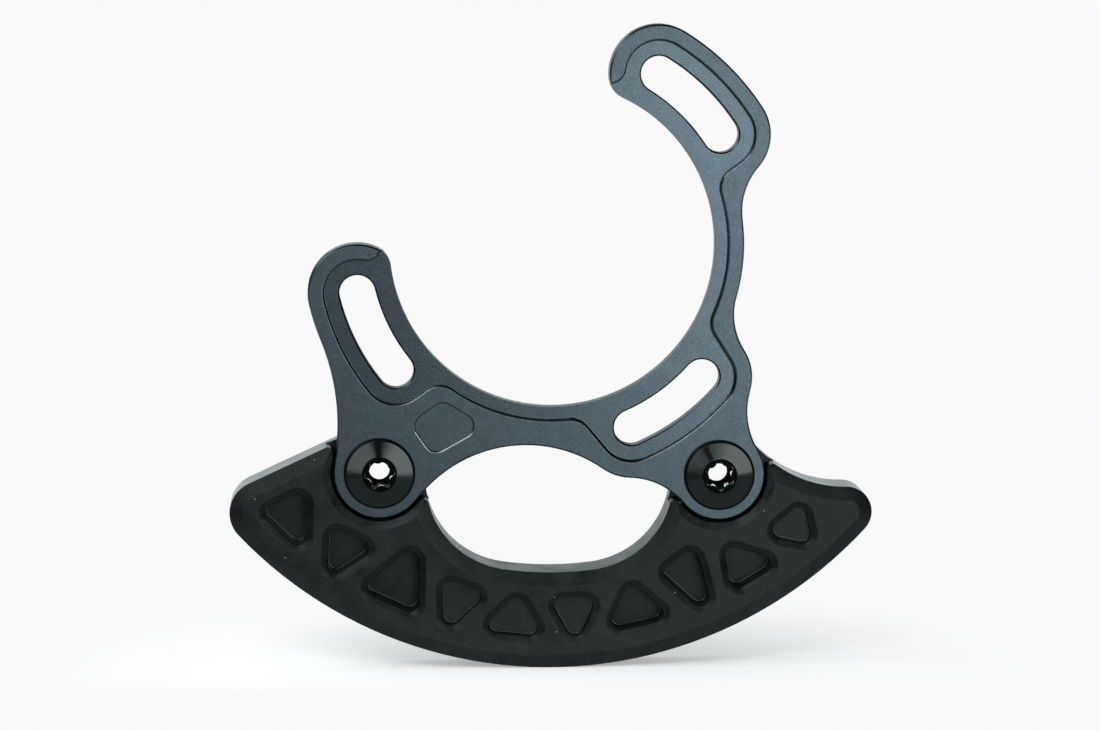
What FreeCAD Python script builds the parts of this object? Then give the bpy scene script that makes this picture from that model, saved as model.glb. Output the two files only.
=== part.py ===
import FreeCAD, Part
import math
import os
from collections import namedtuple

# Chainring guard that bolts to the three tabs around a bicycle's bottom bracket.
# A slotted aluminium backplate carries a bevelled crescent guard on two ears,
# each held by a hollow six-lobe bolt and a sleeve nut from behind.
# Units are millimetres. X points right, Z up, and Y runs along the bottom bracket
# axis, from the viewer to the frame. The origin is on that axis, on the plate's rear face.

# Frame tabs
SLOT_CIRCLE_R = 36.5
SLOT_MID_DEG = 45.8
SLOT_PITCH_DEG = 100.0
SLOT_HALF_DEG = 12.5
SLOT_W = 6.5

# Backplate
PLATE_T = 4.0
PLATE_EDGE = 0.3
OPENING_INSET = 6.9
LOBE_R = 9.0
LOWER_LOBE_R = 9.2
LOBE_CORNER_R = 4.3
ARM_W = 5.2
ARM_FILLET_R = 12.2
FLANK_R = 41.0
BELLY_R = 24.7
NECK_UPPER_R = 14.0
NECK_LOWER_R = 13.0

# Step round the slots, and the shallow diamond panel
STEP_DEPTH = 1.0
STEP_R = 6.1
STEP_BAND_W = 2.3
STEP_BLEND_R = 4.0
STEP_EASE_DEG = 2.2
STEP_END_EASE_DEG = 0.5
STEP_NOSE_DEG = 114.0
PANEL_DEPTH = 0.4
PANEL_OUTSET = 1.8
PANEL_CENTRE_DEG = 238.0
PANEL_CORNERS = ((0.2, 1.7), (-2.7, -0.3), (-1.0, -2.8), (3.5, -0.3))
PANEL_CORNER_R = 2.2

# Ears that carry the guard
EAR_REACH = 15.6
EAR_SPREAD_DEG = 73.3
EAR_R = 8.45

# Guard
GUARD_REACH = 25.8
GUARD_T = 9.0
GUARD_PROUD = 1.0
BEVEL_W = 2.5
BEVEL_DEPTH = 1.0
WINDOW_DROP = 8.0
WINDOW_SIDE_R = 16.7
LEFT_TIP_R = 6.0
LEFT_EDGE_DEG = 24.8
RIGHT_TIP_R = 4.7
RIGHT_TIP_DEG = 48.4
RIGHT_HOLLOW_R = 22.3
EAR_GAP = 0.45
EAR_MOUTH_W = 1.4
EAR_MOUTH_DEPTH = 1.0
SEAT_CORNER_R = 1.0

# Lightening pockets of the guard. Each has a depth, outer corners on one circle, given by their
# angles from the guard's centre line, and inner corners given by angle and inward distance.
POCKET_RIM = 7.5
DEEP_POCKET = 4.5
SHALLOW_POCKET = 1.9
POCKET_CORNER_R = 1.6
POCKET_MOUTH_W = 1.3
POCKET_MOUTH_DEPTH = 0.6
POCKETS = (
    (DEEP_POCKET, (-45.5, -40.7), ((-44.2, 4.5),)),
    (DEEP_POCKET, (-33.5,), ((-31.8, 4.8), (-35.7, 4.1))),
    (DEEP_POCKET, (-26.7, -21.1), ((-23.7, 7.2),)),
    (SHALLOW_POCKET, (-14.5,), ((-12.2, 4.2), (-15.7, 4.6))),
    (SHALLOW_POCKET, (-7.5, -2.8), ((-5.0, 3.7),)),
    (SHALLOW_POCKET, (4.1,), ((5.8, 3.8), (2.4, 4.0))),
    (DEEP_POCKET, (11.0, 16.2), ((13.6, 4.4),)),
    (DEEP_POCKET, (23.5,), ((24.3, 7.2), (20.9, 6.2))),
    (DEEP_POCKET, (29.8, 34.0), ((31.0, 4.2),)),
    (SHALLOW_POCKET, (41.4,), ((42.8, 3.0), (39.5, 3.0))),
)

# Bolts and sleeve nuts
HEAD_R = 6.5
HEAD_RIM = 0.9
HEAD_CONE = 0.7
MOUTH_R = 3.2
SHANK_R = 3.95
SHANK_L = 4.8
BORE_R = 1.9
SOCKET_DEPTH = 2.8
SOCKET_OUTER_D = 5.6
SOCKET_INNER_D = 4.05
SOCKET_LOBE_R = 0.45
LEFT_SOCKET_DEG = 66.0
RIGHT_SOCKET_DEG = 94.0
THREAD_GAP = 0.05
SLEEVE_WALL = 0.95
SLEEVE_GAP = 0.05
SLEEVE_SHORT = 0.5
FLANGE_R = 6.4
FLANGE_T = 1.5
FLANGE_GAP = 0.2
FLANGE_SUNK = 0.1
SPANNER_SLOT_W = 2.4
SPANNER_SLOT_DEPTH = 0.9
PASS = 1.0

Vector = FreeCAD.Vector
AXIS = Vector(0, -1, 0)
TOUCHING = 1e-4

# A round is a circle that an outline follows: positive radii turn left round an outside
# corner, negative radii turn right round an inside one. Consecutive rounds either touch
# or are joined by a straight tangent.
Round = namedtuple("Round", "x z r")

plate_front = -PLATE_T
guard_front = plate_front - GUARD_PROUD
guard_rear = guard_front + GUARD_T
step_floor = plate_front + STEP_DEPTH
slot_mids = [SLOT_MID_DEG - SLOT_PITCH_DEG * k for k in range(3)]
ear_degs = (slot_mids[1] - EAR_SPREAD_DEG, slot_mids[1])
guard_deg = sum(ear_degs) / 2
opening_r = SLOT_CIRCLE_R - OPENING_INSET
ear_circle_r = SLOT_CIRCLE_R + EAR_REACH
guard_r = ear_circle_r + GUARD_REACH


def polar(radius, degrees):
    """X and Z of a point at a radius and angle about the bottom bracket axis."""
    angle = math.radians(degrees)
    return radius * math.cos(angle), radius * math.sin(angle)


def about_axis(radius):
    """Round centred on the bottom bracket axis."""
    return Round(0.0, 0.0, radius)


def blend(first, second, radius, side):
    """Round that touches two others, left (+1) or right (-1) of the way between them."""
    reach_1 = abs(radius - first.r)
    reach_2 = abs(radius - second.r)
    dx, dz = second.x - first.x, second.z - first.z
    span = math.hypot(dx, dz)
    along = (span ** 2 + reach_1 ** 2 - reach_2 ** 2) / (2 * span)
    across = side * math.sqrt(reach_1 ** 2 - along ** 2)
    return Round(first.x + (along * dx - across * dz) / span,
                 first.z + (along * dz + across * dx) / span, radius)


def along_edge(start, degrees, other, radius, way):
    """Round on the left of a straight edge, touching another round from inside where the
    edge leaves it (+1) or enters it (-1)."""
    ux, uz = polar(1.0, degrees)
    px, pz = start[0] - uz * radius - other.x, start[1] + ux * radius - other.z
    half = px * ux + pz * uz
    reach = (radius - other.r) ** 2
    ahead = -half + way * math.sqrt(half ** 2 - px ** 2 - pz ** 2 + reach)
    return Round(px + other.x + ux * ahead, pz + other.z + uz * ahead, radius)


def swung(turn, degrees):
    """Round moved about the bottom bracket axis."""
    radius, angle = math.hypot(turn.x, turn.z), math.degrees(math.atan2(turn.z, turn.x))
    return Round(*polar(radius, angle + degrees), turn.r)


def normals(rounds):
    """Left normal of the outline where it passes from each round to the next."""
    found = []
    for here, there in zip(rounds, rounds[1:] + rounds[:1]):
        dx, dz = there.x - here.x, there.z - here.z
        span = math.hypot(dx, dz)
        along = (there.r - here.r) / span
        if abs(along) > 1.0 - 1e-9:
            along = math.copysign(1.0, along)
        across = math.sqrt(1.0 - along ** 2)
        found.append(((along * dx - across * dz) / span, (along * dz + across * dx) / span))
    return found


def spot(turn, normal, offset, y):
    """Point on a round, moved outwards by offset, at depth y."""
    reach = turn.r + offset
    return Vector(turn.x - normal[0] * reach, y, turn.z - normal[1] * reach)


def legs(rounds):
    """Each round with its entry normal, exit normal and turn in radians, and the next round."""
    exits = normals(rounds)
    for k, turn in enumerate(rounds):
        entry, leave = exits[k - 1], exits[k]
        swing = math.atan2(leave[1], leave[0]) - math.atan2(entry[1], entry[0])
        swing %= 2 * math.pi
        if turn.r < 0:
            swing -= 2 * math.pi
        yield turn, entry, leave, swing, rounds[(k + 1) % len(rounds)]


def cap_face(rounds, offset, y):
    """Flat face inside an outline, moved outwards by offset, at depth y."""
    edges = []
    for turn, entry, leave, swing, following in legs(rounds):
        start, end = spot(turn, entry, offset, y), spot(turn, leave, offset, y)
        lean = math.atan2(entry[1], entry[0]) + swing / 2
        middle = spot(turn, (math.cos(lean), math.sin(lean)), offset, y)
        edges.append(Part.Arc(start, middle, end).toShape())
        onward = spot(following, leave, offset, y)
        if onward.distanceToPoint(end) > TOUCHING:
            edges.append(Part.LineSegment(end, onward).toShape())
    return Part.Face(Part.Wire(edges))


def ring_solid(rounds, strokes):
    """Solid inside an outline. The strokes are its edge section, from one flat face to the
    other, as straight lines between (offset, depth) pairs."""
    faces = [cap_face(rounds, *strokes[0][0]), cap_face(rounds, *strokes[-1][-1])]
    for turn, entry, leave, swing, following in legs(rounds):
        for stroke in strokes:
            side = Part.makeLine(*[spot(turn, entry, *mark) for mark in stroke])
            faces.append(side.revolve(Vector(turn.x, 0, turn.z), AXIS, math.degrees(swing)))
            end = [spot(turn, leave, *mark) for mark in stroke]
            run = spot(following, leave, *stroke[0]) - end[0]
            if run.Length > TOUCHING:
                faces.append(Part.makeLine(*end).extrude(run))
    shell = Part.Shell(faces)
    shell.sewShape()
    solid = Part.Solid(shell)
    if solid.Volume < 0:
        solid.reverse()
    return solid


def straight(start, end, offset=0.0):
    """Section of a plain wall between two depths."""
    return [((offset, start), (offset, end))]


def disc(xz, radius, start, end):
    """Plain cylinder along Y."""
    return Part.makeCylinder(radius, end - start, Vector(xz[0], start, xz[1]), Vector(0, 1, 0))


def turned(xz, profile):
    """Solid turned about a line along Y through a point, from (radius, depth) corners."""
    corners = [Vector(xz[0] + radius, y, xz[1]) for radius, y in profile]
    face = Part.Face(Part.makePolygon(corners + corners[:1]))
    return face.revolve(Vector(xz[0], 0, xz[1]), AXIS, 360)


def slot_rounds(mid, half_width):
    """Outline of a curved slot, or of a band round it."""
    first = Round(*polar(SLOT_CIRCLE_R, mid - SLOT_HALF_DEG), half_width)
    last = Round(*polar(SLOT_CIRCLE_R, mid + SLOT_HALF_DEG), half_width)
    return [first, about_axis(SLOT_CIRCLE_R + half_width), last,
            about_axis(half_width - SLOT_CIRCLE_R)]


def ears():
    """The two ears' end rounds, left then right."""
    return [Round(*polar(ear_circle_r, deg), EAR_R) for deg in ear_degs]


def plate_rounds():
    """Outline of the backplate, from the upper lobe round the opening and the ears."""
    upper, lower, left = [slot_rounds(mid, LOBE_R) for mid in slot_mids]
    lower = [cap._replace(r=LOWER_LOBE_R) for cap in lower]
    left_ear, right_ear = ears()
    opening = about_axis(-opening_r)
    arm = about_axis(opening_r + ARM_W)
    flank = blend(left[1], left_ear, -FLANK_R, -1)
    belly = blend(left_ear, lower[0], -BELLY_R, -1)
    neck_lower = blend(lower[0], right_ear, -NECK_LOWER_R, -1)
    neck_upper = blend(right_ear, lower[2], -NECK_UPPER_R, -1)
    return [upper[2], blend(upper[2], opening, LOBE_CORNER_R, -1), opening,
            blend(opening, left[0], LOBE_CORNER_R, -1), left[0], left[1], flank, left_ear,
            belly, lower[0], neck_lower, right_ear, neck_upper, lower[2],
            blend(lower[2], arm, -ARM_FILLET_R, -1), arm, blend(arm, upper[0], -ARM_FILLET_R, -1),
            upper[0], upper[1]]


def step_rounds():
    """Outline of the stepped zone, open to the bottom bracket and past the lobes' tips."""
    upper, lower, left = [slot_rounds(mid, STEP_R) for mid in slot_mids]
    disc_edge = about_axis(opening_r + STEP_BAND_W)
    nose_r = STEP_R - LOBE_R
    upper_lean = slot_mids[0] + SLOT_HALF_DEG + STEP_NOSE_DEG
    left_lean = slot_mids[2] - SLOT_HALF_DEG - STEP_NOSE_DEG
    dx, dz = polar(LOBE_R, upper_lean)
    upper_nose = Round(upper[2].x + dx, upper[2].z + dz, nose_r)
    dx, dz = polar(LOBE_R, left_lean)
    left_nose = Round(left[0].x + dx, left[0].z + dz, nose_r)
    gap_deg = SLOT_MID_DEG + 180 - SLOT_PITCH_DEG
    outside = Round(*polar(SLOT_CIRCLE_R, gap_deg), LOBE_R)
    left_blend = swung(blend(left[2], disc_edge, -STEP_BLEND_R, -1), STEP_END_EASE_DEG)
    lower_blend = swung(blend(disc_edge, lower[0], -STEP_BLEND_R, -1), -STEP_EASE_DEG)
    arm_blend = swung(blend(lower[2], disc_edge, -STEP_BLEND_R, -1), STEP_EASE_DEG)
    upper_blend = swung(blend(disc_edge, upper[0], -STEP_BLEND_R, -1), -STEP_END_EASE_DEG)
    return [upper[2], upper_nose, outside, left_nose, left[0], left[1], left[2], left_blend,
            disc_edge, lower_blend, lower[0], lower[1], lower[2], arm_blend, disc_edge,
            upper_blend, upper[0], upper[1]]


def panel_rounds():
    """Outline of the diamond panel."""
    centre = polar(SLOT_CIRCLE_R + PANEL_OUTSET, PANEL_CENTRE_DEG)
    return [Round(centre[0] + x, centre[1] + z, PANEL_CORNER_R) for x, z in PANEL_CORNERS]


def backplate():
    """Plate with its step, slots, panel and bolt holes."""
    front_lip = plate_front + PLATE_EDGE
    plate = ring_solid(plate_rounds(), [
        ((0, 0), (0, front_lip)), ((0, front_lip), (-PLATE_EDGE, plate_front))])
    step = straight(step_floor, plate_front - PASS)
    panel = straight(plate_front + PANEL_DEPTH, plate_front - PASS)
    slot = straight(PASS, plate_front)
    tools = [ring_solid(step_rounds(), step), ring_solid(panel_rounds(), panel)]
    tools += [ring_solid(slot_rounds(mid, SLOT_W / 2), slot) for mid in slot_mids]
    tools += [disc((ear.x, ear.z), hole_r, plate_front - PASS, PASS) for ear in ears()]
    return plate.cut(tools)


def guard_parts():
    """The rounds that the guard's two outlines share."""
    left_boss, right_boss = ears()
    rim = about_axis(guard_r)
    window = about_axis(-ear_circle_r - WINDOW_DROP)
    right_side = blend(right_boss, window, -WINDOW_SIDE_R, 1)
    left_side = blend(window, left_boss, -WINDOW_SIDE_R, 1)
    edge_deg = LEFT_EDGE_DEG + 180
    lean_x, lean_z = polar(EAR_R, LEFT_EDGE_DEG + 90)
    edge_start = left_boss.x + lean_x, left_boss.z + lean_z
    left_tip = along_edge(edge_start, edge_deg, rim, LEFT_TIP_R, 1)
    right_tip = Round(*polar(guard_r - RIGHT_TIP_R, guard_deg + RIGHT_TIP_DEG), RIGHT_TIP_R)
    return left_boss, right_boss, rim, window, right_side, left_side, edge_start, edge_deg, \
        left_tip, right_tip


def right_hollow(right_tip, right_boss):
    """Hollow edge from the right tip to its boss, with the radius that meets both level."""
    return blend(right_tip, right_boss, -RIGHT_HOLLOW_R, -1)


def guard_rounds():
    """Whole outline of the guard, round the two bosses that sit behind the ears."""
    left_boss, right_boss, rim, window, right_side, left_side, _, _, left_tip, right_tip = guard_parts()
    return [rim, right_tip, right_hollow(right_tip, right_boss), right_boss, right_side, window,
            left_side, left_boss, left_tip]


def front_rounds():
    """Outline of the guard's front layer, which stops short of the ears that sit in it."""
    left_boss, right_boss, rim, window, right_side, left_side, edge_start, edge_deg, \
        left_tip, right_tip = guard_parts()
    hollow = right_hollow(right_tip, right_boss)
    left_wall = left_boss._replace(r=-EAR_R - EAR_GAP)
    right_wall = right_boss._replace(r=-EAR_R - EAR_GAP)
    left_lobe = slot_rounds(slot_mids[2], LOBE_R)[1]
    flank = blend(left_lobe, left_boss, -FLANK_R, -1)
    flank = flank._replace(r=FLANK_R - EAR_GAP)
    corner = along_edge(edge_start, edge_deg, flank, SEAT_CORNER_R, -1)
    return [rim, right_tip, hollow, blend(hollow, right_wall, SEAT_CORNER_R, 1), right_wall,
            blend(right_wall, right_side, SEAT_CORNER_R, 1), right_side, window, left_side,
            blend(left_side, left_wall, SEAT_CORNER_R, 1), left_wall, flank, corner, left_tip]


def pocket_rounds(outer_degs, inner_marks):
    """Outline of one pocket's floor level wall."""
    outer_r = guard_r - POCKET_RIM
    spots = [polar(outer_r, guard_deg + deg) for deg in outer_degs]
    spots += [polar(outer_r - inward, guard_deg + deg) for deg, inward in inner_marks]
    return [Round(x, z, POCKET_CORNER_R) for x, z in spots]


def pocket(depth, outer_degs, inner_marks):
    """Tool for one pocket with a chamfered mouth."""
    lip = guard_front + POCKET_MOUTH_DEPTH
    slope = POCKET_MOUTH_W / POCKET_MOUTH_DEPTH
    wall = straight(guard_front + depth, lip)
    mouth = [((0, lip), (POCKET_MOUTH_W + PASS * slope, guard_front - PASS))]
    return ring_solid(pocket_rounds(outer_degs, inner_marks), wall + mouth)


def bash_guard():
    """Crescent with its bevel, ear seats, pockets and bolt holes."""
    front_lip = guard_front + BEVEL_DEPTH
    whole = ring_solid(guard_rounds(), [
        ((0, guard_rear), (0, front_lip)), ((0, front_lip), (-BEVEL_W, guard_front))])
    rear = ring_solid(guard_rounds(), straight(guard_rear + PASS, 0, PASS))
    front = ring_solid(front_rounds(), straight(0, guard_front - PASS))
    guard = whole.common(rear).fuse(whole.common(front)).removeSplitter()
    slope = EAR_MOUTH_W / EAR_MOUTH_DEPTH
    mouth = [((EAR_GAP, guard_front + EAR_MOUTH_DEPTH),
              (EAR_GAP + EAR_MOUTH_W + PASS * slope, guard_front - PASS))]
    tools = [ring_solid(plate_rounds(), mouth)]
    tools += [pocket(*marks) for marks in POCKETS]
    for ear in ears():
        tools.append(disc((ear.x, ear.z), hole_r, -PASS, guard_rear + PASS))
        tools.append(disc((ear.x, ear.z), FLANGE_R + FLANGE_GAP, flange_seat, guard_rear + PASS))
    return guard.cut(tools)


def socket_rounds(xz, first_deg):
    """Six-lobe outline whose inner rounds touch its lobes."""
    lobe_reach = SOCKET_OUTER_D / 2 - SOCKET_LOBE_R
    lean = lobe_reach * math.cos(math.radians(30))
    waist_r = (SOCKET_LOBE_R ** 2 - SOCKET_INNER_D ** 2 / 4 - lobe_reach ** 2
               + SOCKET_INNER_D * lean) / (SOCKET_INNER_D - 2 * lean - 2 * SOCKET_LOBE_R)
    rounds = []
    for k in range(6):
        deg = first_deg + 60 * k
        dx, dz = polar(lobe_reach, deg)
        rounds.append(Round(xz[0] + dx, xz[1] + dz, SOCKET_LOBE_R))
        dx, dz = polar(SOCKET_INNER_D / 2 + waist_r, deg + 30)
        rounds.append(Round(xz[0] + dx, xz[1] + dz, -waist_r))
    return rounds


def guard_bolt(ear, socket_deg):
    """Hollow bolt with a coned head on the plate's front."""
    spot_xz = ear.x, ear.z
    rim_front = plate_front - HEAD_RIM
    cone_front = rim_front - HEAD_CONE
    tail = plate_front + SHANK_L
    bolt = turned(spot_xz, [
        (BORE_R, tail), (SHANK_R, tail), (SHANK_R, plate_front), (HEAD_R, plate_front),
        (HEAD_R, rim_front), (MOUTH_R, cone_front), (BORE_R, cone_front)])
    floor = cone_front + SOCKET_DEPTH
    return bolt.cut(ring_solid(socket_rounds(spot_xz, socket_deg), straight(floor, cone_front - PASS)))


def guard_nut(ear):
    """Sleeve nut whose flange sits in the guard's rear counterbore."""
    spot_xz = ear.x, ear.z
    sleeve_front = plate_front + SLEEVE_SHORT
    flange_rear = flange_seat + FLANGE_T
    nut = turned(spot_xz, [
        (thread_r, sleeve_front), (sleeve_r, sleeve_front), (sleeve_r, flange_seat),
        (FLANGE_R, flange_seat), (FLANGE_R, flange_rear), (thread_r, flange_rear)])
    corner = Vector(ear.x - FLANGE_R - PASS, flange_rear - SPANNER_SLOT_DEPTH, ear.z - SPANNER_SLOT_W / 2)
    slot = Part.makeBox(2 * (FLANGE_R + PASS), SPANNER_SLOT_DEPTH + PASS, SPANNER_SLOT_W, corner)
    return nut.cut(slot)


thread_r = SHANK_R + THREAD_GAP
sleeve_r = thread_r + SLEEVE_WALL
hole_r = sleeve_r + SLEEVE_GAP
flange_seat = guard_rear - FLANGE_T - FLANGE_SUNK
left, right = ears()

nodes = {
    "backplate": backplate(),
    "bash_guard": bash_guard(),
    "left_guard_bolt": guard_bolt(left, LEFT_SOCKET_DEG),
    "right_guard_bolt": guard_bolt(right, RIGHT_SOCKET_DEG),
    "left_guard_nut": guard_nut(left),
    "right_guard_nut": guard_nut(right),
}

os.makedirs("parts", exist_ok=True)
for name, shape in nodes.items():
    count = len(shape.Solids)
    shape = shape.Solids[0]
    shape.exportStep(f"parts/{name}.step")
    box = shape.optimalBoundingBox()
    print(name, count, "solid", "valid" if shape.isValid() else "not valid",
          f"volume {shape.Volume:.1f}", f"X {box.XMin:.2f}..{box.XMax:.2f}",
          f"Y {box.YMin:.2f}..{box.YMax:.2f}", f"Z {box.ZMin:.2f}..{box.ZMax:.2f}")
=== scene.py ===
"""Chainring guard in a plain studio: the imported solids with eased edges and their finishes.

Units are metres. X points right, Z up, and Y runs along the bottom bracket axis, away
from the viewer, as in the solids. A shown piece has axes of its own: X right, Y up and
Z to the viewer.
"""

import logging
import math
from dataclasses import dataclass
from enum import Enum, IntEnum
from typing import Any, Mapping, Optional, Tuple, Union

import bmesh
import bpy
from mathutils import Matrix, Quaternion, Vector


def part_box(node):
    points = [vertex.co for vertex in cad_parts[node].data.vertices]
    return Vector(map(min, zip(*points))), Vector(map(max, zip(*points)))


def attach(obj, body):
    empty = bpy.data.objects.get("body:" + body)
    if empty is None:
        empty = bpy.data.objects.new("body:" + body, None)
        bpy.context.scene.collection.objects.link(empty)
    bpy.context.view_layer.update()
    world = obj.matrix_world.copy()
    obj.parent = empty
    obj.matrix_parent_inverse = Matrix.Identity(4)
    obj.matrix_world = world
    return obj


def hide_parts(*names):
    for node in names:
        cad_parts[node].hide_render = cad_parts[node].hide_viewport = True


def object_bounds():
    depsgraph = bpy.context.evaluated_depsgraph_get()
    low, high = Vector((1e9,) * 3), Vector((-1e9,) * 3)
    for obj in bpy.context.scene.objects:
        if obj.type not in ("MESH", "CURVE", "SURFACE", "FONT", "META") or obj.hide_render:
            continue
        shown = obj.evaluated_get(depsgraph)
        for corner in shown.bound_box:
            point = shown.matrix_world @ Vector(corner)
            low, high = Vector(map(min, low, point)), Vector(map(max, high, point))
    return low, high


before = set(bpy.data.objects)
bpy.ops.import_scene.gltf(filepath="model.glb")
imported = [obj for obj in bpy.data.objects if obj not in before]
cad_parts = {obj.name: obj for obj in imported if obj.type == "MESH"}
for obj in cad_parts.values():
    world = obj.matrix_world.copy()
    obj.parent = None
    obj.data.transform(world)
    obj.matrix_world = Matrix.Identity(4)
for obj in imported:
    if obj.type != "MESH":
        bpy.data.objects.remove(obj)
cad_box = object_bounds()

LOG = logging.getLogger("chainring_guard")
MM = 0.001
NOISE_MEAN = 0.5
Z_AXIS = Vector((0.0, 0.0, 1.0))

Colour = Tuple[float, float, float]
Span = Tuple[float, float]
Operand = Union["Signal", float]


class Blend(Enum):
    """How a colour mix joins its two colours."""

    MIX = "MIX"
    MULTIPLY = "MULTIPLY"


class EdgeKind(Enum):
    """Which way a solid turns at an edge."""

    OUTSIDE = "outside corner"
    INSIDE = "inside corner"


class FinishPlace(IntEnum):
    """Where a finish stands in a piece's list of materials."""

    AS_BESIDE = -1
    BODY = 0
    EDGE = 1
    ZONE = 2
    RIM = 3


@dataclass(frozen=True)
class Signal:
    """A value in a shader, with arithmetic that adds Math nodes."""

    shader: "Shader"
    socket: bpy.types.NodeSocket

    def math(self, operation: str, *operands: Operand) -> "Signal":
        """Adds one Math node.

        Args:
            operation: the Math node's operation.
            operands: signals or numbers for its inputs, in order.

        Returns:
            The node's value.
        """
        inputs = dict(enumerate(operands))
        node = self.shader.node("ShaderNodeMath", {"operation": operation}, inputs)
        return Signal(self.shader, node.outputs[0])

    def __add__(self, other: Operand) -> "Signal":
        """Sum."""
        return self.math("ADD", self, other)

    def __radd__(self, other: Operand) -> "Signal":
        """Sum, from the right."""
        return self.math("ADD", other, self)

    def __sub__(self, other: Operand) -> "Signal":
        """Difference."""
        return self.math("SUBTRACT", self, other)

    def __rsub__(self, other: Operand) -> "Signal":
        """Difference, from the right."""
        return self.math("SUBTRACT", other, self)

    def __mul__(self, other: Operand) -> "Signal":
        """Product."""
        return self.math("MULTIPLY", self, other)

    def __rmul__(self, other: Operand) -> "Signal":
        """Product, from the right."""
        return self.math("MULTIPLY", other, self)

    def __gt__(self, other: Operand) -> "Signal":
        """1 where this is the greater, else 0."""
        return self.math("GREATER_THAN", self, other)

    def __lt__(self, other: Operand) -> "Signal":
        """1 where this is the lesser, else 0."""
        return self.math("LESS_THAN", self, other)

    def most(self, other: Operand) -> "Signal":
        """The greater of two values."""
        return self.math("MAXIMUM", self, other)

    def size(self) -> "Signal":
        """The value without its sign."""
        return self.math("ABSOLUTE", self)

    def root(self) -> "Signal":
        """Square root."""
        return self.math("SQRT", self)

    def sine(self) -> "Signal":
        """Sine of an angle in radians."""
        return self.math("SINE", self)

    def ramp(self, low: float, high: float) -> "Signal":
        """Smooth step.

        Args:
            low: value that gives 0.
            high: value that gives 1; it may be the smaller one.

        Returns:
            A value from 0 to 1.
        """
        start, end = (low, high) if low < high else (high, low)
        node = self.shader.node(
            "ShaderNodeMapRange", {"interpolation_type": "SMOOTHSTEP"},
            {"Value": self, "From Min": start, "From Max": end})
        step = Signal(self.shader, node.outputs[0])
        return step if low < high else 1 - step


class Shader:
    """Adds nodes to one node tree."""

    def __init__(self, tree: bpy.types.NodeTree) -> None:
        """Starts from an empty tree."""
        self.tree = tree
        tree.nodes.clear()

    def node(self, kind: str, settings: Optional[Mapping[str, Any]] = None,
             inputs: Optional[Mapping[Union[str, int], Any]] = None) -> bpy.types.Node:
        """Adds a node.

        Args:
            kind: the node's type.
            settings: its properties, set first.
            inputs: values, signals or sockets for its inputs, by name or index.

        Returns:
            The node.
        """
        node = self.tree.nodes.new(kind)
        for key, value in (settings or {}).items():
            setattr(node, key, value)
        for key, value in (inputs or {}).items():
            target = node.inputs[key]
            if isinstance(value, Signal):
                value = value.socket
            if isinstance(value, bpy.types.NodeSocket):
                self.tree.links.new(value, target)
            elif isinstance(target, bpy.types.NodeSocketColor):
                target.default_value = (*value, 1.0)
            else:
                target.default_value = value
        return node

    def signal(self, node: bpy.types.Node, output: Union[str, int] = 0) -> Signal:
        """One output of a node, as a value."""
        return Signal(self, node.outputs[output])

    def place(self) -> bpy.types.NodeSocket:
        """The surface point in its object's own coordinates."""
        return self.node("ShaderNodeTexCoord").outputs["Object"]

    def normal(self) -> Tuple[Signal, Signal, Signal]:
        """X, Y and Z of the surface normal in its object's own coordinates."""
        return self.split(self.node("ShaderNodeTexCoord").outputs["Normal"])

    def split(self, vector: bpy.types.NodeSocket) -> Tuple[Signal, Signal, Signal]:
        """X, Y and Z of a vector."""
        node = self.node("ShaderNodeSeparateXYZ", inputs={0: vector})
        return self.signal(node, 0), self.signal(node, 1), self.signal(node, 2)

    def turned(self, vector: bpy.types.NodeSocket, turn: Vector,
               scale: Vector) -> bpy.types.NodeSocket:
        """A vector turned by Euler angles and then scaled.

        Args:
            vector: the vector's socket.
            turn: angles about X, Y and Z in radians.
            scale: factors along the turned axes.

        Returns:
            The new vector's socket.
        """
        spun = self.node("ShaderNodeVectorRotate", {"rotation_type": "EULER_XYZ"},
                         {"Vector": vector, "Rotation": turn})
        return self.node("ShaderNodeVectorMath", {"operation": "MULTIPLY"},
                         {0: spun.outputs[0], 1: scale}).outputs[0]

    def noise(self, vector: bpy.types.NodeSocket, scale: float, detail: float) -> Signal:
        """Noise from 0 to 1.

        Args:
            vector: where to read it.
            scale: waves per unit of the vector.
            detail: octaves above the first.

        Returns:
            The noise value.
        """
        return self.signal(self.node("ShaderNodeTexNoise", inputs={
            "Vector": vector, "Scale": scale, "Detail": detail}))

    def mix(self, factor: Operand, first: Any, second: Any,
            way: Blend = Blend.MIX) -> bpy.types.NodeSocket:
        """Joins two colours.

        Args:
            factor: share of the second.
            first: a colour or its socket.
            second: a colour or its socket.
            way: how they join.

        Returns:
            The colour's socket.
        """
        node = self.node("ShaderNodeMix", {"data_type": "RGBA", "blend_type": way.value},
                         {0: factor, 6: first, 7: second})
        return node.outputs[2]

    def grey(self, tone: Signal) -> bpy.types.NodeSocket:
        """A grey of the given value."""
        return self.node("ShaderNodeCombineXYZ", inputs={0: tone, 1: tone, 2: tone}).outputs[0]

    def toned(self, colour: Colour, tone: Signal) -> bpy.types.NodeSocket:
        """A colour made lighter or darker by a factor."""
        return self.mix(1.0, colour, self.grey(tone), Blend.MULTIPLY)

    def bump(self, height: Signal, depth: float) -> bpy.types.NodeSocket:
        """Surface normal over a relief.

        Args:
            height: relief from 0 to 1.
            depth: its height in metres.

        Returns:
            The normal's socket.
        """
        return self.node("ShaderNodeBump", inputs={
            "Strength": 1.0, "Distance": depth, "Height": height}).outputs[0]

    def surface(self, **sockets: Any) -> None:
        """Ends the tree with a Principled surface.

        Args:
            sockets: its inputs by name, with underscores for spaces; Specular is its level.
        """
        full_names = {"Specular": "Specular IOR Level"}
        inputs = {full_names.get(key, key.replace("_", " ")): value for key, value in sockets.items()}
        body = self.node("ShaderNodeBsdfPrincipled", inputs=inputs)
        self.node("ShaderNodeOutputMaterial", inputs={"Surface": body.outputs[0]})


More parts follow.
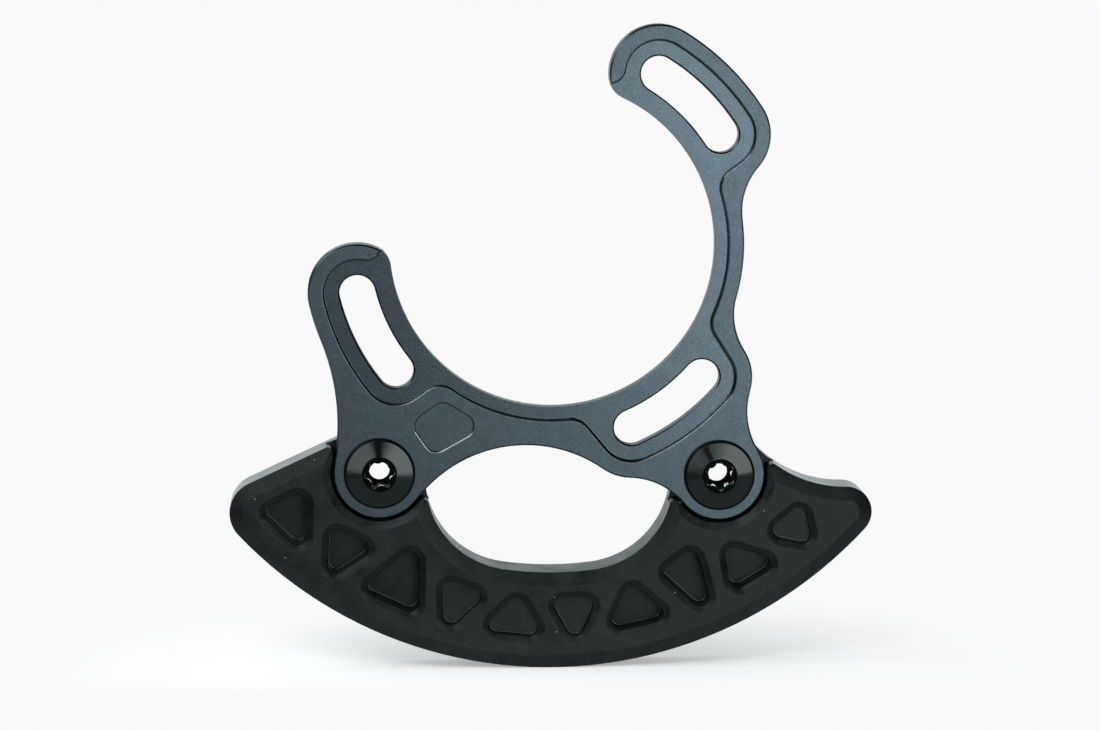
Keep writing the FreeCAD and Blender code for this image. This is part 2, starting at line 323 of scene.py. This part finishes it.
def new_shader(name: str) -> Tuple[bpy.types.Material, Shader]:
    """Starts a material.

    Args:
        name: the material's name.

    Returns:
        The empty material and the builder of its nodes.
    """
    material = bpy.data.materials.new(name)
    material.use_nodes = True
    return material, Shader(material.node_tree)


@dataclass(frozen=True)
class AnodisedPlate:
    """Blue-grey anodised aluminium with faint slanted brushing, smoother in the step, with painted shade
    on its walls.
    """

    name: str
    colour: Colour = (0.068, 0.094, 0.110)
    brush_lean: float = math.radians(38)
    brush_scale: Vector = Vector((420.0, 4200.0, 2400.0))
    brush_detail: float = 3.0
    brush_depth: float = 0.0014 * MM
    brush_tone: float = 0.20
    mottle_scale: float = 420.0
    mottle_detail: float = 4.0
    mottle_tone: float = 0.35
    grain_scale: float = 3400.0
    grain_detail: float = 2.0
    grain_tone: float = 0.9
    slot_band: Span = (33.0 * MM, 40.0 * MM)
    slot_mids: Tuple[float, ...] = (45.8, -54.2, -154.2)
    slot_reach: float = 18.5
    slot_right: Span = (-0.3, 0.4)
    slot_painted_shade: float = 0.9
    wall_facing: Span = (0.5, 0.2)
    wall_roughness: float = 0.55
    wall_painted_shade: float = 0.15
    wall_coat: float = 0.30
    outline_band: Span = (40.2 * MM, 41.0 * MM)
    outline_painted_shade: float = 0.40
    roughness: float = 0.34
    step_roughness: float = 0.27
    step_rise: Span = (3.1 * MM, 3.3 * MM)
    roughness_swing: float = 0.06
    edge_facing: Span = (0.992, 0.96)
    edge_coat: float = 0.0
    edge_coat_roughness: float = 0.15

    def slots(self, x: Signal, y: Signal, radius: Signal) -> Signal:
        """Finds the slots' sectors of the plate.

        Args:
            x: distance to the right of the bottom bracket axis.
            y: height above it.
            radius: distance from it.

        Returns:
            1 in the sectors, else 0.
        """
        turn = y.math("ARCTAN2", y, x)
        inside = (radius > self.slot_band[0]) * (radius < self.slot_band[1])
        first, second, third = [
            (turn > math.radians(mid - self.slot_reach)) * (turn < math.radians(mid + self.slot_reach))
            for mid in self.slot_mids]
        return inside * (first + second + third)

    def material(self) -> bpy.types.Material:
        """Builds the nodes.

        Returns:
            The material.
        """
        material, shader = new_shader(self.name)
        place = shader.place()
        brushed = shader.turned(place, Vector((0.0, 0.0, self.brush_lean)), self.brush_scale)
        brush = shader.noise(brushed, 1.0, self.brush_detail)
        mottle = shader.noise(place, self.mottle_scale, self.mottle_detail)
        grain = shader.noise(place, self.grain_scale, self.grain_detail)
        tone = 1 + (brush - NOISE_MEAN) * self.brush_tone + (mottle - NOISE_MEAN) * self.mottle_tone
        tone = tone + (grain - NOISE_MEAN) * self.grain_tone
        x, y, z = shader.split(place)
        radius = (x * x + y * y).root()
        right, _, facing = shader.normal()
        wall = facing.size().ramp(*self.wall_facing)
        outline = radius.ramp(*self.outline_band)
        slot_wall = self.slots(x, y, radius) * wall * right.ramp(*self.slot_right)
        # Painted shade: walls are darkened, more in the outline band; slot walls facing right are
        # darkened further.
        tone = tone * (1 - wall * (self.wall_painted_shade + outline * self.outline_painted_shade))
        tone = tone * (1 - slot_wall * self.slot_painted_shade)
        raised = z.ramp(*self.step_rise)
        roughness = self.step_roughness + raised * (self.roughness - self.step_roughness)
        roughness = roughness + (brush - NOISE_MEAN) * self.roughness_swing
        edge_coat = self.edge_coat * facing.size().ramp(*self.edge_facing)
        coat = edge_coat.most(wall * (1 - outline) * self.wall_coat) * (1 - slot_wall)
        shader.surface(
            Base_Color=shader.toned(self.colour, tone),
            Metallic=1.0,
            Roughness=roughness.most(wall * self.wall_roughness),
            Coat_Weight=coat,
            Coat_Roughness=self.edge_coat_roughness,
            Normal=shader.bump(brush, self.brush_depth))
        return material


@dataclass(frozen=True)
class MachinedPlastic:
    """Black plastic with milling marks across its walls, smoother upper walls and a little dust."""

    name: str
    colour: Colour = (0.0078, 0.0096, 0.0100)
    gloss_tint: Colour = (0.87, 0.98, 1.0)
    dust: Colour = (0.42, 0.44, 0.44)
    mark_scale: Vector = Vector((1500.0, 1500.0, 60.0))
    mark_detail: float = 2.0
    mark_share: float = 0.7
    mark_depth: float = 0.009 * MM
    grain_scale: float = 1800.0
    grain_detail: float = 3.0
    grain_tone: float = 2.0
    mottle_scale: float = 260.0
    mottle_detail: float = 4.0
    mottle_tone: float = 2.8
    least_tone: float = 0.2
    speck_cell: float = 5.5 * MM
    speck_r: float = 0.09 * MM
    speck_share: float = 0.11
    roughness: float = 0.42
    roughness_swing: float = 0.40
    gloss: float = 0.27
    wall_facing: Span = (0.35, 0.1)
    wall_coat: float = 0.62
    wall_coat_roughness: float = 0.16
    window_coat: float = 0.20
    window_half: Span = (30.0 * MM, 40.0 * MM)
    coated_above: Span = (-63.0 * MM, -59.0 * MM)

    def specks(self, shader: Shader, place: bpy.types.NodeSocket) -> Signal:
        """Scatters dust.

        Args:
            shader: the builder of the nodes.
            place: the surface point.

        Returns:
            1 on the specks, else 0.
        """
        cells = shader.node("ShaderNodeTexVoronoi", {"voronoi_dimensions": "2D"},
                            {"Vector": place, "Scale": 1 / self.speck_cell})
        chance = shader.split(cells.outputs["Color"])[0]
        near = shader.signal(cells, "Distance") < self.speck_r / self.speck_cell
        return near * (chance < self.speck_share)

    def material(self) -> bpy.types.Material:
        """Builds the nodes.

        Returns:
            The material.
        """
        material, shader = new_shader(self.name)
        place = shader.place()
        marked = shader.turned(place, Vector((0.0, 0.0, 0.0)), self.mark_scale)
        marks = shader.noise(marked, 1.0, self.mark_detail)
        grain = shader.noise(place, self.grain_scale, self.grain_detail)
        mottle = shader.noise(place, self.mottle_scale, self.mottle_detail)
        tone = 1 + (mottle - NOISE_MEAN) * self.mottle_tone + (grain - NOISE_MEAN) * self.grain_tone
        body = shader.toned(self.colour, tone.most(self.least_tone))
        x, y, _ = shader.split(place)
        facing = shader.normal()[2]
        smooth = facing.size().ramp(*self.wall_facing) * y.ramp(*self.coated_above)
        beside_window = x.size().ramp(*self.window_half)
        coat = self.window_coat + beside_window * (self.wall_coat - self.window_coat)
        relief = marks * self.mark_share + grain * (1 - self.mark_share)
        shader.surface(
            Base_Color=shader.mix(self.specks(shader, place), body, self.dust),
            Metallic=0.0,
            Roughness=self.roughness + (mottle - NOISE_MEAN) * self.roughness_swing,
            Specular=self.gloss,
            Specular_Tint=self.gloss_tint,
            Coat_Weight=smooth * coat,
            Coat_Roughness=self.wall_coat_roughness,
            Normal=shader.bump(relief, self.mark_depth))
        return material


@dataclass(frozen=True)
class TurnedBlack:
    """Glossy black anodised metal with fine turning rings about the piece's own Z axis.

    Inside the socket's radius, steep walls are bare and bright.
    """

    name: str
    colour: Colour = (0.0040, 0.0046, 0.0048)
    gloss_tint: Colour = (0.86, 1.0, 1.0)
    ring_pitch: float = 0.11 * MM
    ring_depth: float = 0.0003 * MM
    smudge_scale: float = 420.0
    smudge_detail: float = 3.0
    smudge_tone: float = 0.4
    roughness: float = 0.14
    roughness_swing: float = 0.06
    socket_r: float = 3.0 * MM
    socket_blend: float = 0.2 * MM
    socket_facing: Span = (0.6, 0.3)
    socket_roughness: float = 0.06
    socket_tone: float = 0.70
    anisotropy: float = 0.8
    anisotropy_turn: float = 0.25
    gloss: float = 0.5

    def material(self) -> bpy.types.Material:
        """Builds the nodes.

        Returns:
            The material.
        """
        material, shader = new_shader(self.name)
        place = shader.place()
        x, y, _ = shader.split(place)
        radius = (x * x + y * y).root()
        rings = (radius * (math.tau / self.ring_pitch)).sine() * 0.5 + 0.5
        smudge = shader.noise(place, self.smudge_scale, self.smudge_detail) - NOISE_MEAN
        body = shader.toned(self.colour, 1 + smudge * self.smudge_tone)
        turned = radius.ramp(self.socket_r, self.socket_r + self.socket_blend)
        roughness = self.roughness + smudge * self.roughness_swing
        facing = shader.normal()[2]
        bare = (1 - turned) * facing.size().ramp(*self.socket_facing)
        shader.surface(
            Base_Color=shader.mix(bare, body, (self.socket_tone,) * 3),
            Metallic=bare,
            Roughness=self.socket_roughness + turned * (roughness - self.socket_roughness),
            Specular=self.gloss,
            Specular_Tint=self.gloss_tint,
            Anisotropic=self.anisotropy,
            Anisotropic_Rotation=self.anisotropy_turn,
            Normal=shader.bump(rings, self.ring_depth))
        return material


def slope_of(face: bmesh.types.BMFace) -> float:
    """Angle in degrees between a face's normal and the piece's own Z axis."""
    return math.degrees(face.normal.angle(Z_AXIS))


@dataclass(frozen=True)
class Easing:
    """Rounding for sharp edges of one kind in a band about the piece's own Z axis.

    The slope is a range of angles to that axis, and one face at the edge has to lie in it.
    The turn is a range of angles about it. A profile of 0.5 is round and 0.25 a chamfer.
    """

    offset: float
    segments: int = 2
    kind: EdgeKind = EdgeKind.OUTSIDE
    inner: float = 0.0
    outer: float = math.inf
    low: float = -math.inf
    high: float = math.inf
    slope: Span = (0.0, 180.0)
    turn: Span = (-180.0, 180.0)
    finish: FinishPlace = FinishPlace.AS_BESIDE
    profile: float = 0.5

    def holds(self, corner: bmesh.types.BMVert) -> bool:
        """Tells whether a corner lies in the band.

        Args:
            corner: a corner of the mesh, in the piece's own axes.

        Returns:
            True in the band.
        """
        turn = math.degrees(math.atan2(corner.co.y, corner.co.x))
        return (self.inner <= corner.co.xy.length <= self.outer
                and self.low <= corner.co.z <= self.high
                and self.turn[0] <= turn <= self.turn[1])

    def covers(self, edge: bmesh.types.BMEdge) -> bool:
        """Tells whether an edge is of the kind, borders a face of the slope and lies in the band.

        Args:
            edge: an edge of the mesh, in the piece's own axes.

        Returns:
            True for an edge to round.
        """
        if edge.is_convex != (self.kind is EdgeKind.OUTSIDE):
            return False
        if not any(self.slope[0] <= slope_of(face) <= self.slope[1] for face in edge.link_faces):
            return False
        return all(self.holds(corner) for corner in edge.verts)


@dataclass
class SolidPiece:
    """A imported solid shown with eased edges."""

    node: str
    slot: str
    rounds: Tuple[Tuple[Easing, ...], ...]
    crease: float = math.radians(10)
    sharp: float = math.radians(50)
    flat: float = math.radians(0.2)
    merge: float = 0.0005 * MM

    def seat(self) -> Matrix:
        """The piece's own axes in the frame: X right, Y up and Z to the viewer."""
        return Matrix.Rotation(math.pi / 2, 4, "X")

    def mark(self, work: bmesh.types.BMesh) -> None:
        """Marks faces that take another finish than the body's; a plain solid has none."""

    def ease(self, work: bmesh.types.BMesh, easings: Tuple[Easing, ...]) -> None:
        """Rounds the sharp edges, each by the first easing that covers it.

        Args:
            work: the mesh, in the piece's own axes.
            easings: the roundings of this round.
        """
        sharp = [edge for edge in work.edges
                 if edge.is_manifold and edge.calc_face_angle() > self.crease]
        shares = []
        for easing in easings:
            shares.append([edge for edge in sharp if easing.covers(edge)])
            sharp = [edge for edge in sharp if edge not in set(shares[-1])]
        for easing, share in zip(easings, shares):
            edges = [edge for edge in share if edge.is_valid]
            bmesh.ops.bevel(work, geom=edges, offset=easing.offset, offset_type="OFFSET",
                            profile=easing.profile, segments=easing.segments, affect="EDGES",
                            clamp_overlap=False, material=int(easing.finish))

    def build(self) -> bpy.types.Object:
        """Copies the solid's mesh and eases its edges.

        Returns:
            The piece, in place of the node.
        """
        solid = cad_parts[self.node]
        work = bmesh.new()
        work.from_mesh(solid.data)
        bmesh.ops.remove_doubles(work, verts=work.verts, dist=self.merge)
        bmesh.ops.dissolve_limit(work, angle_limit=self.flat, verts=work.verts, edges=work.edges)
        seat = self.seat()
        bmesh.ops.transform(work, matrix=seat.inverted(), verts=work.verts)
        for easings in self.rounds:
            self.ease(work, easings)
        work.normal_update()
        self.mark(work)
        bmesh.ops.recalc_face_normals(work, faces=work.faces)
        mesh = bpy.data.meshes.new(f"{self.node}_shown")
        work.to_mesh(mesh)
        work.free()
        mesh.shade_smooth()
        mesh.set_sharp_from_angle(angle=self.sharp)
        piece = bpy.data.objects.new(f"{self.node}_shown", mesh)
        piece.matrix_world = seat
        bpy.context.scene.collection.objects.link(piece)
        weights = piece.modifiers.new("weights", "WEIGHTED_NORMAL")
        weights.keep_sharp = True
        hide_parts(self.node)
        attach(piece, "root")
        return piece

    def dress(self, piece: bpy.types.Object, *materials: bpy.types.Material) -> None:
        """Gives the piece its finishes.

        Args:
            piece: the shown piece.
            materials: the finishes, in the order of FinishPlace from the body's on.
        """
        for material in materials:
            piece.data.materials.append(material)
        LOG.info("%s: %d faces, %d finishes", piece.name, len(piece.data.polygons), len(materials))


@dataclass
class PlatePiece(SolidPiece):
    """A flat solid, whose eased edges keep their own finish only where they face the right way.

    Painted highlights: the lighter edge finishes keep their place where they face up by at least the
    least rise, the sine of an angle, and the step's edge only where it doesn't face right as well.
    Painted shade: the dark slot rim finish keeps its place where the rims turn away from the lit side.
    """

    least_rise: float = 0.5
    most_right: float = 0.2
    lit_side: Vector = Vector((-0.35, 0.94, 0.0))
    most_lit: float = 0.4

    def mark(self, work: bmesh.types.BMesh) -> None:
        """Gives the other eased edges the body's finish.

        Args:
            work: the mesh, in the piece's own axes.
        """
        # Painted light: the lighter edges stay only on up-facing faces, the dark slot rims only on faces
        # turned from the lit side.
        for face in work.faces:
            level = face.normal.xy.length
            if face.material_index == FinishPlace.RIM:
                plain = face.normal.dot(self.lit_side) > self.most_lit * level
            else:
                plain = face.normal.y < self.least_rise * level
            if face.material_index == FinishPlace.ZONE:
                plain = plain or face.normal.x > self.most_right * level
            if plain:
                face.material_index = FinishPlace.BODY


@dataclass
class PocketedPiece(SolidPiece):
    """A solid with chamfered pocket mouths, which take a darker finish of painted shade unless they face
    up.

    The most rise is the sine of the angle above level up to which a mouth takes it. The steeper mouths
    round the ears have a lighter finish of painted light.
    """

    mouth_slope: Span = (0.0, 0.0)
    ear_slope: Span = (0.0, 0.0)
    most_rise: float = 0.3

    def mark(self, work: bmesh.types.BMesh) -> None:
        """Marks the pocket mouths and the ear mouths by their slopes.

        Args:
            work: the mesh, in the piece's own axes.
        """
        for face in work.faces:
            slope = slope_of(face)
            in_body = face.material_index == FinishPlace.BODY
            # Painted shade: the darker mouth finish stays on mouths that don't face up.
            if in_body and self.mouth_slope[0] < slope < self.mouth_slope[1]:
                if face.normal.y < self.most_rise * face.normal.xy.length:
                    face.material_index = FinishPlace.ZONE
            # Painted light: the lighter finish goes on the ear mouths.
            if self.ear_slope[0] < slope < self.ear_slope[1]:
                face.material_index = FinishPlace.RIM


@dataclass
class TurnedPiece(SolidPiece):
    """A turned solid, whose own Z axis is its turning axis and whose bore has its own finish."""

    bore_r: float = 0.0
    mouth_r: float = 0.0
    flat_lip: float = 0.8

    def mark(self, work: bmesh.types.BMesh) -> None:
        """Marks the faces of the bore and of the socket's flat lip.

        Args:
            work: the mesh, in the piece's own axes.
        """
        for face in work.faces:
            reach = max(corner.co.xy.length for corner in face.verts)
            if reach < self.bore_r or reach < self.mouth_r and face.normal.z > self.flat_lip:
                face.material_index = FinishPlace.ZONE

    def seat(self) -> Matrix:
        """Finds the turning axis.

        Returns:
            Axes on it, with Z to the viewer.
        """
        low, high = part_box(self.node)
        centre = (low + high) / 2
        return Matrix.Translation((centre.x, 0.0, centre.z)) @ super().seat()


@dataclass(frozen=True)
class Backplate:
    """The slotted plate."""

    lower_foot: Easing = Easing(0.30 * MM, 4, EdgeKind.INSIDE, high=3.2 * MM, turn=(-86.0, -18.0))
    step_foot: Easing = Easing(0.14 * MM, 3, EdgeKind.INSIDE, high=3.2 * MM)
    panel_foot: Easing = Easing(0.06 * MM, 2, EdgeKind.INSIDE)
    chamfer: Easing = Easing(0.04 * MM, 2, slope=(40.0, 50.0))
    panel_edge: Easing = Easing(0.30 * MM, 4, inner=34.2 * MM, outer=44.0 * MM, low=3.9 * MM,
                                turn=(-129.5, -112.5), finish=FinishPlace.EDGE)
    step_edge: Easing = Easing(0.38 * MM, 4, low=3.9 * MM, finish=FinishPlace.ZONE)
    slot_rim: Easing = Easing(0.30 * MM, 4, inner=33.0 * MM, outer=40.0 * MM, low=2.9 * MM,
                              high=3.1 * MM, finish=FinishPlace.RIM, profile=0.25)
    outside: Easing = Easing(0.06 * MM, 2)
    finishes: Tuple[AnodisedPlate, ...] = (
        AnodisedPlate("anodised_plate"),
        # Painted highlight: a much lighter colour on the panel's up-facing edges.
        AnodisedPlate("edge_painted_highlight", (0.23, 0.28, 0.30), roughness=0.26, edge_coat=1.0),
        # Painted highlight: a lighter colour on the step's up-facing edges.
        AnodisedPlate("step_edge_painted_highlight", (0.095, 0.125, 0.142), roughness=0.30, edge_coat=1.0),
        # Painted shade: a dark colour on the slot rims turned from the lit side.
        AnodisedPlate("slot_rim_painted_shade", (0.016, 0.021, 0.024)),
    )

    def make(self) -> None:
        """Builds and dresses the plate."""
        easings = (self.lower_foot, self.step_foot, self.panel_foot, self.chamfer,
                   self.panel_edge, self.step_edge, self.slot_rim, self.outside)
        piece = PlatePiece("backplate", "plate", (easings,))
        piece.dress(piece.build(), *[finish.material() for finish in self.finishes])


@dataclass(frozen=True)
class CrescentGuard:
    """The pocketed crescent."""

    mouth_slope: Span = (23.4, 26.5)
    ear_slope: Span = (34.5, 36.5)
    inside: Easing = Easing(0.22 * MM, 3, EdgeKind.INSIDE, finish=FinishPlace.EDGE)
    lip: Easing = Easing(0.32 * MM, 3, slope=mouth_slope, high=4.8 * MM)
    outside: Easing = Easing(0.08 * MM)
    finishes: Tuple[MachinedPlastic, ...] = (
        MachinedPlastic("machined_plastic"),
        MachinedPlastic("burnished_corner", roughness=0.26, gloss=0.6),
        # Painted shade: a darker colour on the pocket mouths that don't face up.
        MachinedPlastic("mouth_painted_shade", (0.0056, 0.0068, 0.0071), gloss=0.18),
        # Painted light: a lighter colour on the ear mouths, brightening them against their shade.
        MachinedPlastic("ear_mouth_painted_light", (0.0150, 0.0178, 0.0184)),
    )

    def make(self) -> None:
        """Builds and dresses the crescent."""
        piece = PocketedPiece("bash_guard", "guard", ((self.inside, self.lip, self.outside),),
                              mouth_slope=self.mouth_slope, ear_slope=self.ear_slope)
        piece.dress(piece.build(), *[finish.material() for finish in self.finishes])


@dataclass(frozen=True)
class Fixings:
    """The two hollow bolts and their sleeve nuts."""

    rim: Easing = Easing(0.46 * MM, 1, inner=6.0 * MM, low=4.5 * MM, finish=FinishPlace.EDGE)
    rim_blend: Easing = Easing(0.03 * MM, 2, inner=5.9 * MM, low=4.0 * MM)
    mouth: Easing = Easing(0.12 * MM, 2, inner=3.1 * MM, outer=3.4 * MM, low=5.0 * MM)
    socket: Easing = Easing(0.05 * MM, 1, outer=2.9 * MM, low=5.0 * MM)
    flange: Easing = Easing(0.20 * MM, 3, inner=6.0 * MM)
    bore_r: float = 1.95 * MM
    mouth_r: float = 3.25 * MM
    bolt_finishes: Tuple[TurnedBlack, ...] = (
        TurnedBlack("bolt_black"),
        TurnedBlack("bolt_rim", roughness=0.45, gloss=0.12, anisotropy=0.0),
        TurnedBlack("bolt_bore", roughness=0.6, gloss=0.0, anisotropy=0.0, socket_r=0.0),
    )
    nut_finish: TurnedBlack = TurnedBlack("nut_black", roughness=0.34, socket_r=0.0)

    def make(self) -> None:
        """Builds and dresses the four pieces."""
        bolt_materials = [finish.material() for finish in self.bolt_finishes]
        nut_material = self.nut_finish.material()
        for side in ("left", "right"):
            bolt = TurnedPiece(f"{side}_guard_bolt", "bolt",
                               ((self.rim, self.mouth, self.socket), (self.rim_blend,)),
                               bore_r=self.bore_r, mouth_r=self.mouth_r)
            bolt.dress(bolt.build(), *bolt_materials)
            nut = TurnedPiece(f"{side}_guard_nut", "nut", ((self.flange,),))
            nut.dress(nut.build(), nut_material)


@dataclass(frozen=True)
class Softbox:
    """A rectangular lamp that faces a point."""

    name: str
    place: Vector
    width: float
    height: float
    power: float
    roll: float = 0.0
    aim: Vector = Vector((0.0, 0.0, -0.02))

    def make(self) -> None:
        """Adds the lamp."""
        lamp = bpy.data.lights.new(self.name, "AREA")
        lamp.shape = "RECTANGLE"
        lamp.size = self.width
        lamp.size_y = self.height
        lamp.energy = self.power
        holder = bpy.data.objects.new(self.name, lamp)
        holder.location = self.place
        facing = (self.aim - self.place).to_track_quat("-Z", "Y")
        holder.rotation_euler = (facing @ Quaternion(Z_AXIS, self.roll)).to_euler()
        holder.visible_camera = False
        bpy.context.scene.collection.objects.link(holder)
        LOG.info("%s at %s", self.name, tuple(self.place))


@dataclass(frozen=True)
class Studio:
    """White sheet, pale surroundings, two softboxes beside the camera and two from above.

    The spans of the surroundings are heights or depths of a direction of length 1.
    """

    white: float = 0.947
    floor_albedo: float = 0.86
    floor_shown: float = 1.82
    shadow_share: float = 0.66
    floor_half_width: float = 1.2
    floor_front: float = -0.024
    floor_back: float = 1.6
    shadow_stretch: float = 0.55
    shadow_reach: Span = (0.020, 0.075)
    front_fade: float = 0.014
    fill_level: float = 0.30
    fill_below: float = 0.25
    fill_from: Span = (-0.4, 0.1)
    fill_tint: Colour = (0.90, 1.0, 1.0)
    front_level: float = 0.015
    low_level: float = 0.36
    low_from: Span = (-0.12, -0.26)
    behind_from: Span = (0.2, 0.6)
    overhead_from: Span = (0.45, 0.85)
    ceiling_level: float = 0.05
    lamps: Tuple[Softbox, ...] = (
        Softbox("softbox_right", Vector((0.248, -0.70, 0.008)), 0.43, 0.38, 1.75, math.radians(16)),
        Softbox("softbox_left", Vector((-0.266, -0.70, 0.046)), 0.225, 0.38, 0.62, math.radians(-35)),
        Softbox("softbox_top", Vector((-0.26, -0.42, 0.40)), 0.32, 0.28, 1.1),
        Softbox("softbox_side", Vector((-0.45, -0.06, 0.36)), 0.25, 0.25, 0.60),
    )

    def floor(self) -> None:
        """Adds the sheet that the guard stands on."""
        low = cad_box[0].z
        half = self.floor_half_width
        corners = [(-half, self.floor_front, low), (half, self.floor_front, low),
                   (half, self.floor_back, low), (-half, self.floor_back, low)]
        mesh = bpy.data.meshes.new("floor")
        mesh.from_pydata(corners, [], [(0, 1, 2, 3)])
        sheet = bpy.data.objects.new("floor", mesh)
        bpy.context.scene.collection.objects.link(sheet)
        mesh.materials.append(self.floor_material())

    def floor_material(self) -> bpy.types.Material:
        """Builds white paper that takes the shadow near the guard and is plain white elsewhere.

        Returns:
            The material.
        """
        material, shader = new_shader("floor_paper")
        x, y, _ = shader.split(shader.place())
        away = (x * x * self.shadow_stretch + y * y).root()
        near = away.ramp(self.shadow_reach[1], self.shadow_reach[0])
        near = near * y.ramp(self.floor_front, self.floor_front + self.front_fade)
        path = shader.node("ShaderNodeLightPath")
        direct = shader.signal(path, "Is Camera Ray").most(shader.signal(path, "Is Transmission Ray"))
        seen = direct.most(shader.signal(path, "Is Glossy Ray"))
        tone = direct * (self.floor_shown - self.floor_albedo) + self.floor_albedo
        paper = shader.node("ShaderNodeBsdfDiffuse", inputs={"Color": shader.grey(tone)})
        glow = shader.node("ShaderNodeEmission", inputs={"Color": (self.white,) * 3, "Strength": 1.0})
        both = shader.node("ShaderNodeMixShader", inputs={
            0: seen * (1 - near * self.shadow_share), 1: paper.outputs[0], 2: glow.outputs[0]})
        shader.node("ShaderNodeOutputMaterial", inputs={"Surface": both.outputs[0]})
        return material

    def world(self) -> None:
        """Adds surroundings: white to the camera, an even fill, in reflections bright behind and low."""
        world = bpy.data.worlds.new("studio")
        bpy.context.scene.world = world
        world.use_nodes = True
        shader = Shader(world.node_tree)
        _, y, z = shader.split(shader.node("ShaderNodeTexCoord").outputs["Generated"])
        level = self.front_level + z.ramp(*self.low_from) * (self.low_level - self.front_level)
        behind = y.ramp(*self.behind_from)
        level = level * (1 - behind) + behind * self.white
        overhead = z.ramp(*self.overhead_from)
        level = level * (1 - overhead) + overhead * self.ceiling_level
        above = z.ramp(*self.fill_from)
        fill = self.fill_level * (self.fill_below + above * (1 - self.fill_below))
        path = shader.node("ShaderNodeLightPath")
        level = fill + shader.signal(path, "Is Glossy Ray") * (level - fill)
        seen = shader.signal(path, "Is Camera Ray").most(shader.signal(path, "Is Transmission Ray"))
        level = level * (1 - seen) + seen * self.white
        sky = shader.node("ShaderNodeBackground", inputs={
            "Color": shader.mix(1 - seen, (1.0, 1.0, 1.0), self.fill_tint), "Strength": level})
        shader.node("ShaderNodeOutputWorld", inputs={"Surface": sky.outputs[0]})

    def make(self) -> None:
        """Adds the floor, the surroundings and the lamps."""
        self.floor()
        self.world()
        for lamp in self.lamps:
            lamp.make()


@dataclass(frozen=True)
class PhotoCamera:
    """The camera of the picture: a long lens, a little above and to the left."""

    target: Vector = Vector((-0.370, 0.0, -22.236)) * MM
    distance: float = 650.0 * MM
    pitch: float = 0.1371
    yaw: float = 0.0595
    sensor: float = 36.0
    focal_pixels: float = 3549.72
    picture_width: float = 1100.0
    nearest: float = 0.01

    def make(self) -> None:
        """Adds the camera and makes it the scene's own."""
        data = bpy.data.cameras.new("photo_camera")
        data.sensor_fit = "HORIZONTAL"
        data.sensor_width = self.sensor
        data.lens = self.sensor * self.focal_pixels / self.picture_width
        data.clip_start = self.nearest
        level = math.cos(self.pitch)
        ahead = Vector((math.sin(self.yaw) * level, math.cos(self.yaw) * level, -math.sin(self.pitch)))
        camera = bpy.data.objects.new("photo_camera", data)
        camera.location = self.target - ahead * self.distance
        camera.rotation_euler = ahead.to_track_quat("-Z", "Y").to_euler()
        bpy.context.scene.collection.objects.link(camera)
        bpy.context.scene.camera = camera


def main() -> None:
    """Builds the object, the studio and the camera."""
    logging.basicConfig(level=logging.INFO, format="%(name)s: %(message)s")
    bpy.context.scene.view_settings.view_transform = "Standard"
    Backplate().make()
    CrescentGuard().make()
    Fixings().make()
    Studio().make()
    PhotoCamera().make()


if __name__ == "__main__":
    main()
